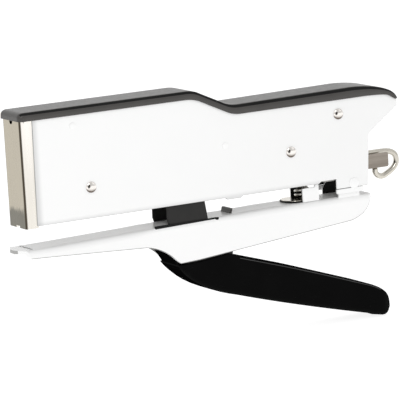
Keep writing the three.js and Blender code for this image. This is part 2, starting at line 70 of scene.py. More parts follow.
# ---------- sizes shared by several pieces, in millimetres ----------
PLATE_OUT = 8.5
PLATE_IN = 7.5
COVER_HALF = 9.4
ARM_HALF = 8.3
CHEEK_OUT = 7.2
CHEEK_IN = 6.3
GRIP_HALF = 8.4
SHEET = 0.9
DECK_FRONT, DECK_REAR, DECK_LEVEL_X = -9.3, -6.8, 112.0
FRONT_RIVET = (29.5, 13.3)
ROCKER_PIVOT = (124.3, 15.8)
REAR_RIVET = (148.3, 29.1)
FRONT_TIE = (22.8, 39.4)
MIDDLE_TIE = (92.9, 22.3)
ARM_PIVOT = (154.3, -1.4)
CURVE_STEPS = 14                           # straight steps in each curve of an outline
CAP_DEPTH = 0.6                            # depth of a wire's end cap, as a share of its radius


# ---------- camera, light and floor ----------
SKY_BEHIND, SKY_AHEAD = 0.62, 0.95         # world strength behind the camera and in front of it
FLOOR_GREY, FLOOR_GLOW = 0.3, 0.88         # the floor's own tone, and how much it lights itself
FLOOR_HALF = 12.0                          # metres
FLOOR_GAP = 0.0004                         # metres between the floor and the lowest point
CAMERA_AT = Vector((-596.4, -1275.9, 241.4))   # millimetres from the foot of the nose
CAMERA_YAW, CAMERA_TILT, CAMERA_ROLL = 0.489936, 0.165669, 0.061753   # radians
LENS_MM, SENSOR_MM = 315.0, 36.0


def make_camera():
    data = bpy.data.cameras.new("camera")
    data.sensor_width = SENSOR_MM
    data.lens = LENS_MM
    data.clip_end = 20.0
    camera = bpy.data.objects.new("camera", data)
    level = Vector((math.cos(CAMERA_YAW), -math.sin(CAMERA_YAW), 0.0))
    ahead = Vector((
        math.sin(CAMERA_YAW) * math.cos(CAMERA_TILT),
        math.cos(CAMERA_YAW) * math.cos(CAMERA_TILT),
        -math.sin(CAMERA_TILT),
    ))
    above = level.cross(ahead)
    right = level * math.cos(CAMERA_ROLL) - above * math.sin(CAMERA_ROLL)
    up = level * math.sin(CAMERA_ROLL) + above * math.cos(CAMERA_ROLL)
    turn = Matrix((right, up, -ahead)).transposed().to_4x4()
    camera.matrix_world = Matrix.Translation(ORIGIN + CAMERA_AT * MM) @ turn
    bpy.context.scene.collection.objects.link(camera)
    bpy.context.scene.camera = camera


def make_world():
    world = bpy.data.worlds.new("studio")
    bpy.context.scene.world = world
    world.use_nodes = True
    tree = world.node_tree
    tree.nodes["Background"].inputs["Color"].default_value = (1.0, 1.0, 1.0, 1.0)
    coords = tree.nodes.new("ShaderNodeTexCoord")
    split = tree.nodes.new("ShaderNodeSeparateXYZ")
    tree.links.new(coords.outputs["Generated"], split.inputs["Vector"])
    fade = tree.nodes.new("ShaderNodeMapRange")
    fade.inputs["From Min"].default_value = -1.0
    fade.inputs["From Max"].default_value = 0.8
    fade.inputs["To Min"].default_value = SKY_BEHIND
    fade.inputs["To Max"].default_value = SKY_AHEAD
    tree.links.new(split.outputs["Y"], fade.inputs["Value"])
    tree.links.new(fade.outputs["Result"], tree.nodes["Background"].inputs["Strength"])


def make_light(name, place, target, size, power):
    data = bpy.data.lights.new(name, "AREA")
    data.shape = "RECTANGLE"
    data.size, data.size_y = size
    data.energy = power
    lamp = bpy.data.objects.new(name, data)
    lamp.location = place
    lamp.rotation_euler = (Vector(target) - Vector(place)).to_track_quat("-Z", "Y").to_euler()
    bpy.context.scene.collection.objects.link(lamp)


def make_floor():
    far = FLOOR_HALF
    mesh = bpy.data.meshes.new("floor")
    corners = [(-far, -far, 0), (far, -far, 0), (far, far, 0), (-far, far, 0)]
    mesh.from_pydata(corners, [], [(0, 1, 2, 3)])
    floor = bpy.data.objects.new("floor", mesh)
    floor.location = (0, 0, CAD_BOX[0][2] - FLOOR_GAP)
    bpy.context.scene.collection.objects.link(floor)
    material = bpy.data.materials.new("floor_white")
    material.use_nodes = True
    shader = material.node_tree.nodes["Principled BSDF"]
    shader.inputs["Base Color"].default_value = (FLOOR_GREY, FLOOR_GREY, FLOOR_GREY, 1)
    shader.inputs["Roughness"].default_value = 0.9
    shader.inputs["Specular IOR Level"].default_value = 0.0
    shader.inputs["Emission Color"].default_value = (1, 1, 1, 1)
    shader.inputs["Emission Strength"].default_value = FLOOR_GLOW
    mesh.materials.append(material)


# ---------- materials ----------
def new_material(name, base, roughness, metallic=0.0, specular=0.5):
    material = bpy.data.materials.new(name)
    material.use_nodes = True
    shader = material.node_tree.nodes["Principled BSDF"]
    shader.inputs["Base Color"].default_value = (*base, 1)
    shader.inputs["Roughness"].default_value = roughness
    shader.inputs["Metallic"].default_value = metallic
    shader.inputs["Specular IOR Level"].default_value = specular
    return material, material.node_tree, shader


def noise(tree, scale, stretch=(1, 1, 1), detail=3.0):
    """Noise in the object's own coordinates (metres), stretched per axis."""
    coords = tree.nodes.new("ShaderNodeTexCoord")
    mapping = tree.nodes.new("ShaderNodeMapping")
    mapping.inputs["Scale"].default_value = stretch
    texture = tree.nodes.new("ShaderNodeTexNoise")
    texture.inputs["Scale"].default_value = scale
    texture.inputs["Detail"].default_value = detail
    tree.links.new(coords.outputs["Object"], mapping.inputs["Vector"])
    tree.links.new(mapping.outputs["Vector"], texture.inputs["Vector"])
    return texture.outputs["Fac"]


def vary(tree, source, target, low, high, clip=(0.3, 0.7)):
    """Maps a 0-1 signal to a range of numbers or colours on a shader socket."""
    ramp = tree.nodes.new("ShaderNodeValToRGB")
    ramp.color_ramp.elements[0].position, ramp.color_ramp.elements[1].position = clip
    for element, value in zip(ramp.color_ramp.elements, (low, high)):
        element.color = (*value, 1) if isinstance(value, tuple) else (value, value, value, 1)
    tree.links.new(source, ramp.inputs["Fac"])
    tree.links.new(ramp.outputs["Color"], target)


def bump(tree, shader, source, strength, distance=0.0001):
    node = tree.nodes.new("ShaderNodeBump")
    node.inputs["Strength"].default_value = strength
    node.inputs["Distance"].default_value = distance
    tree.links.new(source, node.inputs["Height"])
    tree.links.new(node.outputs["Normal"], shader.inputs["Normal"])


def white_enamel(name="white_enamel"):
    material, tree, shader = new_material(name, (0.93, 0.93, 0.925), 0.22)
    tone = mix_colors(tree, noise(tree, 60), (0.918, 0.919, 0.916), (0.936, 0.937, 0.934))
    tree.links.new(tone, shader.inputs["Base Color"])
    vary(tree, noise(tree, 300), shader.inputs["Roughness"], 0.21, 0.24, (0.0, 1.0))
    bump(tree, shader, noise(tree, 700, detail=1), 0.03)
    return material


def plate_enamel():
    """White enamel with painted shade: greyer along the nose and along the lower edge but not its corner, and
    painted light that greys it towards the rear.
    """
    material = white_enamel("plate_enamel")
    tree = material.node_tree
    shader = tree.nodes["Principled BSDF"]
    tone = shader.inputs["Base Color"].links[0].from_socket
    along, _, height = split_axes(tree, "Object")
    # painted shade beside the nose and along the lower edge; painted light falling off towards the rear
    nose = map_range(tree, along, ORIGIN.x + 4.3 * MM, ORIGIN.x + 8.0 * MM, 0.72, 1.0)
    foot = map_range(tree, height, ORIGIN.z + 0.2 * MM, ORIGIN.z + 2.4 * MM, 0.82, 1.0)
    corner = map_range(tree, along, ORIGIN.x + 134 * MM, ORIGIN.x + 138 * MM)
    foot = link_math(tree, "MAXIMUM", foot, corner)
    rear = map_range(tree, along, ORIGIN.x, ORIGIN.x + 180 * MM, 1.0, 0.955)
    shade = link_math(tree, "MULTIPLY", link_math(tree, "MULTIPLY", nose, foot), rear)
    grey = tree.nodes.new("ShaderNodeCombineColor")
    for channel in ("Red", "Green", "Blue"):
        tree.links.new(shade, grey.inputs[channel])
    shaded = mix_colors(tree, 1.0, tone, grey.outputs["Color"], "MULTIPLY")
    tree.links.new(shaded, shader.inputs["Base Color"])
    return material


def satin_plastic(name, dark, light, low, high, grain, specular=0.5):
    material, tree, shader = new_material(name, dark, low, specular=specular)
    vary(tree, noise(tree, 80), shader.inputs["Base Color"], dark, light)
    vary(tree, noise(tree, 500), shader.inputs["Roughness"], low, high)
    bump(tree, shader, noise(tree, 2600, detail=2), grain)
    return material


def grip_plastic():
    """Glossy black; the gloss fades at grazing angles."""
    dark, light = (0.0014, 0.0014, 0.0014), (0.0022, 0.0022, 0.0022)
    material = satin_plastic("grip_plastic", dark, light, 0.16, 0.24, 0.03)
    tree = material.node_tree
    weight = tree.nodes.new("ShaderNodeLayerWeight")
    weight.inputs["Blend"].default_value = 0.5
    gloss = map_range(tree, weight.outputs["Facing"], 0.2, 0.7, 0.03, 0.0)
    tree.links.new(gloss, tree.nodes["Principled BSDF"].inputs["Specular IOR Level"])
    return material


def brushed_metal(name, dark, light, low, high, stretch, strength=0.12):
    material, tree, shader = new_material(name, light, low, metallic=1.0)
    lines = noise(tree, 700, stretch, detail=4)
    vary(tree, lines, shader.inputs["Base Color"], dark, light)
    vary(tree, noise(tree, 240, stretch), shader.inputs["Roughness"], low, high)
    bump(tree, shader, lines, strength, 0.00005)
    return material


def link_math(tree, operation, first, second=None):
    node = tree.nodes.new("ShaderNodeMath")
    node.operation = operation
    tree.links.new(first, node.inputs[0])
    if isinstance(second, float):
        node.inputs[1].default_value = second
    elif second is not None:
        tree.links.new(second, node.inputs[1])
    return node.outputs["Value"]


def split_axes(tree, output):
    """X, Y and Z of the object's own position ("Object") or surface direction ("Normal")."""
    coords = tree.nodes.new("ShaderNodeTexCoord")
    split = tree.nodes.new("ShaderNodeSeparateXYZ")
    tree.links.new(coords.outputs[output], split.inputs["Vector"])
    return split.outputs["X"], split.outputs["Y"], split.outputs["Z"]


def map_range(tree, source, low, high, to_low=0.0, to_high=1.0):
    node = tree.nodes.new("ShaderNodeMapRange")
    node.interpolation_type = "SMOOTHSTEP"
    node.inputs["From Min"].default_value = low
    node.inputs["From Max"].default_value = high
    node.inputs["To Min"].default_value = to_low
    node.inputs["To Max"].default_value = to_high
    tree.links.new(source, node.inputs["Value"])
    return node.outputs["Result"]


def mix_colors(tree, factor, first, second, blend="MIX"):
    node = tree.nodes.new("ShaderNodeMix")
    node.data_type = "RGBA"
    node.blend_type = blend
    for name, value in (("Factor", factor), ("A", first), ("B", second)):
        socket = next(i for i in node.inputs if i.name == name and i.enabled)
        if isinstance(value, float):
            socket.default_value = value
        elif isinstance(value, tuple):
            socket.default_value = (*value, 1)
        else:
            tree.links.new(value, socket)
    return next(o for o in node.outputs if o.enabled)


def nose_nickel():
    """Brushed nickel: satin front with wear at its foot, painted dark reflections on the bends, and a painted
    highlight on the flanks that is painted darker low down.
    """
    material, tree, shader = new_material("nose_nickel", (0.5, 0.45, 0.38), 0.3, metallic=1.0)
    lines = noise(tree, 600, (1, 1, 0.04), detail=4)
    _, sideways, _ = split_axes(tree, "Normal")
    flank = link_math(tree, "ABSOLUTE", sideways)
    _, _, height = split_axes(tree, "Object")
    ragged = link_math(tree, "MULTIPLY", noise(tree, 800, (1, 1, 0.25), detail=5), 0.006)
    worn_to = link_math(tree, "ADD", height, ragged)
    rise = map_range(tree, worn_to, ORIGIN.z + 8.5 * MM, ORIGIN.z + 11.5 * MM)
    streaks = mix_colors(tree, lines, (0.4, 0.36, 0.285), (0.52, 0.475, 0.385))
    front = mix_colors(tree, rise, (0.17, 0.16, 0.13), streaks)
    # painted dark reflection on the rounded bends
    bend = mix_colors(tree, map_range(tree, flank, 0.02, 0.2), front, (0.07, 0.058, 0.042))
    # painted highlight on the flanks, painted darker low down
    low = map_range(tree, height, ORIGIN.z + 50 * MM, ORIGIN.z + 10 * MM)
    flank_painted_highlight = mix_colors(tree, low, (0.97, 0.935, 0.885), (0.82, 0.785, 0.72))
    whole = mix_colors(tree, map_range(tree, flank, 0.82, 0.99), bend, flank_painted_highlight)
    tree.links.new(whole, shader.inputs["Base Color"])
    vary(tree, lines, shader.inputs["Roughness"], 0.24, 0.36)
    bump(tree, shader, lines, 0.08, 0.00005)
    return material


def dome_nickel():
    """Polished nickel with painted dark reflections on each dome: a soft dark patch, and a dark lower rim."""
    material, tree, shader = new_material("dome_nickel", (0.8, 0.77, 0.72), 0.14, metallic=1.0)
    along, sideways, height = split_axes(tree, "Normal")
    turned_out = tree.nodes.new("ShaderNodeCombineXYZ")
    tree.links.new(along, turned_out.inputs["X"])
    tree.links.new(link_math(tree, "ABSOLUTE", sideways), turned_out.inputs["Y"])
    tree.links.new(height, turned_out.inputs["Z"])
    toward = tree.nodes.new("ShaderNodeVectorMath")
    toward.operation = "DOT_PRODUCT"
    toward.inputs[1].default_value = Vector((-0.25, 0.96, 0.09)).normalized()
    tree.links.new(turned_out.outputs["Vector"], toward.inputs[0])
    grain = mix_colors(tree, noise(tree, 900), (0.84, 0.8, 0.76), (0.95, 0.92, 0.88))
    # painted dark reflection on the part of the dome that faces one set direction
    facing = map_range(tree, toward.outputs["Value"], 0.984, 0.996)
    patch = mix_colors(tree, facing, grain, (0.05, 0.045, 0.04))
    # painted shade along the dome's lower rim
    below = map_range(tree, height, -0.03, -0.4)
    rim = mix_colors(tree, below, patch, (0.15, 0.12, 0.1))
    tree.links.new(rim, shader.inputs["Base Color"])
    vary(tree, noise(tree, 700), shader.inputs["Roughness"], 0.12, 0.18)
    bump(tree, shader, noise(tree, 1500), 0.03)
    return material


def make_plastics():
    return {
        "cover": satin_plastic("cover_plastic", (0.042, 0.039, 0.036), (0.054, 0.05, 0.046), 0.28, 0.36, 0.1),
        "grip": grip_plastic(),
        "lever": satin_plastic(
            "lever_enamel", (0.012, 0.0115, 0.011), (0.017, 0.016, 0.015), 0.45, 0.55, 0.1, 0.3,
        ),
        # near-black painted shade for insides, gaps, slots and the cover's groove
        "shade": satin_plastic(
            "painted_shade_black", (0.006, 0.006, 0.006), (0.012, 0.012, 0.012), 0.5, 0.6, 0.1, 0.15,
        ),
        # grey painted shade for edges and for faces turned away from the light
        "edge_shade": satin_plastic("edge_shade_grey", (0.3, 0.3, 0.295), (0.4, 0.4, 0.39), 0.3, 0.4, 0.05),
        # lighter black for the painted highlight along the grip's rims
        "rim": satin_plastic("grip_rim", (0.02, 0.02, 0.02), (0.04, 0.04, 0.04), 0.12, 0.2, 0.03, 0.5),
    }


def make_metals():
    even, along_x, along_y, along_xz = (1, 1, 1), (0.1, 1, 1), (1, 0.1, 1), (0.1, 1, 0.1)
    return {
        "nickel": brushed_metal(
            "bright_nickel", (0.66, 0.62, 0.55), (0.76, 0.72, 0.65), 0.14, 0.22, even, 0.03,
        ),
        "wire": brushed_metal(
            "wire_nickel", (0.56, 0.53, 0.47), (0.66, 0.63, 0.56), 0.16, 0.26, along_xz, 0.04,
        ),
        "rail": brushed_metal("dull_rail", (0.25, 0.22, 0.19), (0.36, 0.32, 0.28), 0.36, 0.5, (0.06, 1, 1)),
        "steel": brushed_metal("rolled_steel", (0.3, 0.29, 0.28), (0.42, 0.41, 0.39), 0.3, 0.42, along_x),
        "spring": brushed_metal(
            "spring_wire", (0.5, 0.49, 0.46), (0.64, 0.63, 0.6), 0.22, 0.32, even, 0.05,
        ),
        "edge": brushed_metal("cut_edge", (0.05, 0.049, 0.047), (0.12, 0.117, 0.11), 0.34, 0.46, along_y),
    }


def make_materials():
    return {
        "white": white_enamel(),
        "plate": plate_enamel(),
        "nose": nose_nickel(),
        "dome": dome_nickel(),
        **make_plastics(),
        **make_metals(),
    }


# ---------- drawing ----------
def path(start, *steps):
    """A flat outline: (x, z) draws a line to that point, (cx, cz, x, z) a curve past a control point."""
    points = [start]
    for step in steps:
        if len(step) == 2:
            points.append(step)
            continue
        (ax, az), (cx, cz, bx, bz) = points[-1], step
        for index in range(1, CURVE_STEPS + 1):
            t = index / CURVE_STEPS
            s = 1 - t
            x = s * s * ax + 2 * s * t * cx + t * t * bx
            z = s * s * az + 2 * s * t * cz + t * t * bz
            points.append((x, z))
    return points


def height_on(line, x):
    """z on an outline that runs forward in x."""
    for (ax, az), (bx, bz) in zip(line, line[1:]):
        if ax <= x <= bx and bx > ax:
            return az + (bz - az) * (x - ax) / (bx - ax)
    return line[0][1] if x < line[0][0] else line[-1][1]


def deck_at(x):
    return DECK_FRONT + (DECK_REAR - DECK_FRONT) * min(1.0, (x + 4.0) / (DECK_LEVEL_X + 4.0))


def new_object(name, rings, closed_ends=True, open_ring=False):
    """Joins rings of points (millimetres from the foot of the nose) into one mesh."""
    bm = bmesh.new()
    loops = [[bm.verts.new(ORIGIN + Vector(p) * MM) for p in ring] for ring in rings]
    for first, second in zip(loops, loops[1:]):
        count = len(first)
        for index in range(count - 1 if open_ring else count):
            after = (index + 1) % count
            bm.faces.new((first[index], first[after], second[after], second[index]))
    if closed_ends:
        bm.faces.new(loops[0])
        bm.faces.new(loops[-1])
    bmesh.ops.recalc_face_normals(bm, faces=bm.faces)
    mesh = bpy.data.meshes.new(name)
    bm.to_mesh(mesh)
    bm.free()
    made = bpy.data.objects.new(name, mesh)
    bpy.context.scene.collection.objects.link(made)
    return made


def slab(name, outline, low, high):
    return new_object(name, [[(x, y, z) for x, z in outline] for y in (low, high)])


def prism(name, outline, low, high):
    return new_object(name, [[(x, y, z) for x, y in outline] for z in (low, high)])


def block(name, x0, x1, y0, y1, z0, z1):
    return slab(name, [(x0, z0), (x1, z0), (x1, z1), (x0, z1)], y0, y1)


def circle(cx, cz, radius, count=48):
    angles = [2 * math.pi * k / count for k in range(count)]
    return [(cx + radius * math.cos(a), cz + radius * math.sin(a)) for a in angles]


def turned(name, centre, profile):
    """A round piece along Y; profile is a list of (radius, y), closed to the axis at both ends."""
    rings = [[(x, y, z) for x, z in circle(*centre, radius)] for radius, y in profile]
    return new_object(name, rings)


def swept(name, points, radius, sides=16):
    """A round wire through a list of points, with rounded ends."""
    spots = [Vector(p) for p in points]
    tangents = []
    for index in range(len(spots)):
        before, after = spots[max(index - 1, 0)], spots[min(index + 1, len(spots) - 1)]
        tangents.append((after - before).normalized())
    side = tangents[0].orthogonal().normalized()
    rings = []

    def ring(spot, tangent, reach):
        across = tangent.cross(side)
        return [
            spot + reach * (math.cos(a) * side + math.sin(a) * across)
            for a in (2 * math.pi * k / sides for k in range(sides))
        ]

    dome = [(math.sin(a), math.cos(a)) for a in (math.pi * k / 12 for k in range(1, 6))]
    for wide, deep in dome:
        centre = spots[0] - tangents[0] * radius * (CAP_DEPTH * deep)
        rings.append(ring(centre, tangents[0], radius * wide))
    for spot, tangent in zip(spots, tangents):
        side = (side - tangent * side.dot(tangent)).normalized()
        rings.append(ring(spot, tangent, radius))
    for wide, deep in reversed(dome):
        centre = spots[-1] + tangents[-1] * radius * (CAP_DEPTH * deep)
        rings.append(ring(centre, tangents[-1], radius * wide))
    return new_object(name, rings)


def smooth_curve(points, steps=10):
    """Catmull-Rom curve through flat points."""
    ends = [points[0], *points, points[-1]]
    out = []
    for p0, p1, p2, p3 in zip(ends, ends[1:], ends[2:], ends[3:]):
        for index in range(steps):
            t = index / steps
            out.append(tuple(
                0.5 * (
                    2 * b + (c - a) * t
                    + (2 * a - 5 * b + 4 * c - d) * t ** 2
                    + (3 * b - a - 3 * c + d) * t ** 3
                )
                for a, b, c, d in zip(p0, p1, p2, p3)
            ))
    out.append(points[-1])
    return out


def combine(target, operation, *tools):
    for tool in tools:
        change = target.modifiers.new("cut", "BOOLEAN")
        change.operation = operation
        change.solver = "EXACT"
        change.object = tool
    bake(target)
    for tool in tools:
        bpy.data.objects.remove(tool)
    return target


def bake(target):
    """Turns the modifiers of a piece into its mesh."""
    graph = bpy.context.evaluated_depsgraph_get()
    mesh = bpy.data.meshes.new_from_object(target.evaluated_get(graph))
    target.modifiers.clear()
    target.data = mesh


def round_edges(piece, width, segments, angle=32, clamp=True):
    soften = piece.modifiers.new("bevel", "BEVEL")
    soften.width = width * MM
    soften.segments = segments
    soften.limit_method = "ANGLE"
    soften.angle_limit = math.radians(angle)
    soften.use_clamp_overlap = clamp
    bake(piece)


def done(piece, material, body, nodes=(), bevel=0.15, segments=3, angle=32, clamp=True):
    """Rounds the edges, shades, paints and mounts a piece."""
    if bevel:
        round_edges(piece, bevel, segments, angle, clamp)
    mesh = piece.data
    mesh.materials.clear()
    mesh.materials.append(MATERIALS[material])
    mesh.polygons.foreach_set("use_smooth", [True] * len(mesh.polygons))
    mesh.set_sharp_from_angle(angle=math.radians(40))
    weights = piece.modifiers.new("weights", "WEIGHTED_NORMAL")
    weights.keep_sharp = True
    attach(piece, body)
    if nodes:
        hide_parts(*nodes)
    return piece


def shade_inside(piece, side):
    """Near-black painted shade on the faces turned towards the middle of the stapler."""
    piece.data.materials.append(MATERIALS["shade"])
    for face in piece.data.polygons:
        if face.normal.y * side < -0.7:
            face.material_index = 1


def front_of(face, x):
    return face.center.x < ORIGIN.x + x * MM


def shade_edges(piece, chosen):
    """Grey painted shade on the chosen faces of a painted piece."""
    piece.data.materials.append(MATERIALS["edge_shade"])
    last = len(piece.data.materials) - 1
    for face in piece.data.polygons:
        if chosen(face):
            face.material_index = last


# ---------- body ----------
BEAD_HEIGHT = 3.6                          # height at which the cover's bead is drawn
GROOVE_START = -0.8                        # the groove's painted shade runs from here to the rear


def cover_top():
    """The cover's ridge line. It has one point for each point of cover_foot."""
    return path(
        (-1.4, 43.9), (-1.4, 44.9), (-1.4, 47.4, 1.4, 47.4),
        (75.5, 47.4), (79.5, 47.4, 82.5, 45.7), (93.4, 40.5),
        (96.4, 39.1, 100, 39.15), (155, 39.9), (168, 39.6, 174.8, 36.1),
        (177.2, 34.6, 177.9, 32.7),
    )


def cover_foot():
    return path(
        (1.0, 43.8), (1.1, 43.8), (1.3, 43.8, 1.7, 43.8),
        (75.0, 43.8), (78.9, 43.8, 82.0, 42.4), (94.3, 36.5),
        (97.4, 34.9, 101.5, 35.0), (155, 35.17), (167.5, 35.4, 172.6, 34.5),
        (175.0, 33.4, 176.6, 32.2),
    )


def top_cover():
    """A shell swept along the ridge, with a rounded bead at its lower edge and painted shade in a groove
    above it.
    """
    wall = 0.6
    tops = cover_top()
    bead = path((-9.1, 0.0), (-9.42, 0.3, -9.4, 1.3), (-9.4, 2.45, -8.95, 2.75), (-8.85, 2.7), (-8.75, 3.2))
    groove_from, groove_to = len(bead) - 8, len(bead) + 3
    bead += path((-8.75, 3.2), (-8.65, 3.6, -8.1, 3.6))[1:]
    rings = []
    for (tx, tz), (fx, fz) in zip(tops, cover_foot()):
        reach = math.hypot(tx - fx, tz - fz)
        blend = min(1.0, max(0.0, (tx + 0.6) / 2.4))
        radius = min(2.2, 0.85 * reach)
        profile = []
        for index, (by, bz) in enumerate(bead):
            turn = math.pi / 2 * max(0.0, index / (len(bead) - 1) * 1.25 - 0.25)
            py = -COVER_HALF + radius * (1 - math.cos(turn))
            pz = reach - radius * (1 - math.sin(turn)) if index else 0.0
            profile.append((py + (by - py) * blend, pz + (bz * reach / BEAD_HEIGHT - pz) * blend))
        profile += [(-y, up) for y, up in reversed(profile)]
        rings.append([(fx + (tx - fx) * up / reach, y, fz + (tz - fz) * up / reach) for y, up in profile])
    cover = new_object("cover_shell", rings, closed_ends=False, open_ring=True)
    thick = cover.modifiers.new("wall", "SOLIDIFY")
    thick.thickness = wall * MM
    thick.offset = -1
    bake(cover)
    done(cover, "cover", "housing", ["top_cover"], bevel=0.0)
    # painted shade on the faces of the groove
    cover.data.materials.append(MATERIALS["shade"])
    across = 2 * len(bead) - 1
    for face in cover.data.polygons[: across * (len(rings) - 1)]:
        along, around = divmod(face.index, across)
        from_side = min(around, across - 1 - around)
        if tops[along][0] > GROOVE_START and groove_from <= from_side < groove_to:
            face.material_index = 1


def plate_outline():
    roof = 1.6
    return path(
        (4.2, 0.4), (4.9, 47.4 - roof),
        (75.2, 47.4 - roof), (79.0, 47.4 - roof, 82.0, 45.7 - roof), (92.9, 40.5 - roof),
        (96.1, 39.1 - roof, 100, 39.15 - roof), (155, 39.9 - roof), (168, 39.6 - roof, 173.8, 34.6),
        (176.6, 33.2, 177.6, 31.6), (178.0, 30.4, 177.6, 29.4), (163.9, 19.8), (162.9, 19.0, 162.8, 17.6),
        (161.4, -2.6), (161.3, -3.1, 160.8, -3.1), (145.8, -3.1), (145.8, 1.2),
        (138.2, 1.2), (137.2, 0.4), (100.2, 0.4), (99.4, -0.4), (92.6, -0.4), (91.8, 0.4),
    )


def side_plate(name, node, side):
    low, high = sorted((side * PLATE_IN, side * PLATE_OUT))
    plate = slab(name, plate_outline(), low, high)
    done(plate, "plate", "housing", [node], bevel=0.32, clamp=False)
    shade_inside(plate, side)
    # painted shade on the plate's downward faces and on its front edge beside the nose
    shade_edges(plate, lambda face: face.normal.z < -0.45 or (face.normal.x < -0.6 and front_of(face, 7.0)))
    foot = path(
        (145.7, -3.25), (145.7, -5.0), (145.8, -5.3, 146.4, -5.3), (158.2, -5.3),
        (158.8, -5.3, 158.8, -4.7), (158.8, -3.25),
    )
    fold = slab(f"{name}_foot", foot, *sorted((side * PLATE_IN, side * (PLATE_OUT + 0.1))))
    done(fold, "white", "housing", bevel=0.2)


def dome(name, node, centre, side, radius=2.3, height=0.95, material="dome", slot="nickel"):
    """A dome head on the outside of a side plate, with a thin rim under it."""
    start = PLATE_OUT - 0.3
    rim = PLATE_OUT + 0.16
    profile = [(radius, start), (radius, rim)]
    for index in range(1, 11):
        turn = math.pi / 2 * index / 10
        profile.append((radius * math.cos(turn) + 0.02, rim + (height - 0.16) * math.sin(turn)))
    piece = turned(name, centre, [(r, side * y) for r, y in profile])
    done(piece, material, "housing", [node] if node else (), bevel=0.0)


def nose_channel():
    half, deep, corner, wall, lead = 8.1, 4.9, 1.3, 1.1, -0.6
    bend = corner + lead
    front = path(
        (deep, half), (bend, half), (lead, half, lead, half - corner), (lead, corner - half),
        (lead, -half, bend, -half), (deep, -half),
    )
    inner = [(deep, wall - half), (wall + lead, wall - half), (wall + lead, half - wall), (deep, half - wall)]
    channel = prism("nose_front", front + inner, -NOSE_FOOT_DROP, 45.0)
    notch = prism("notch", [(-2, -1.8), (2, -1.8), (2, 1.4), (-2, 1.4)], -2, 0.45)
    hole = new_object("hole", [[(x, y, z) for y, z in circle(0, 43.6, 1.4)] for x in (-2, 2)])
    combine(channel, "DIFFERENCE", notch, hole)
    done(channel, "nose", "housing", bevel=0.12)
    wings = block("nose_wings", 2.9, 14, -CHEEK_OUT, CHEEK_OUT, 10.2, 44.6)
    combine(wings, "DIFFERENCE", block("inside", 2, 15, -CHEEK_IN, CHEEK_IN, 5, 50))
    done(wings, "nose", "housing", ["nose_channel"], bevel=0.1)


# ---------- arm ----------
EDGE_BAND = 0.26                           # height of the painted shade line along the arm's lower edge


ARM_END = 162.25                           # last cross-section at the rear


def arm_foot():
    return path(
        (-5, deck_at(-5) - 1.4), (-1.9, deck_at(-1.9) - 1.4), (0.2, -12.7), (9, -13.1), (53.5, -15.5),
        (60.5, -16.8, 65.5, -21.2), (67.5, -23.4, 69.0, -24.3), (78.0, -23.9), (152.0, -17.4),
        (161.3, -15.4, 162.3, -7.9),
    )


def bend_at(x):
    """Radius of the arm's shoulder: small at the tongue, and tighter beside the lever slots."""
    if x <= 0:
        return 0.9
    away = max(0.0, 58.0 - x, x - 90.0)
    return 1.9 + 0.8 * min(1.0, away / 8.0)


def arm_plan(half, tip, rear):
    right = path((rear, half), (0.6, half), (-1.6, half, tip + 1.5, half * 0.58), (tip, half * 0.3, tip, 0))
    return right + [(x, -y) for x, y in reversed(right[:-1])]


def arm_ring(x, half, radius, top, foot):
    radius = min(radius, 0.6 * (top - foot))
    ring = [(x, -half, foot), (x, -half, foot + min(EDGE_BAND, 0.2 * (top - foot)))]
    for index in range(7):
        turn = math.pi / 2 * index / 6
        ring.append((x, -half + radius * (1 - math.cos(turn)), top - radius * (1 - math.sin(turn))))
    return ring + [(px, -py, pz) for px, py, pz in reversed(ring)]


def lower_edge(face, foot):
    """True for side faces that lie along the lower edge of the arm."""
    height = height_on(foot, (face.center.x - ORIGIN.x) / MM) + EDGE_BAND
    return abs(face.normal.y) > 0.7 and face.center.z < ORIGIN.z + height * MM


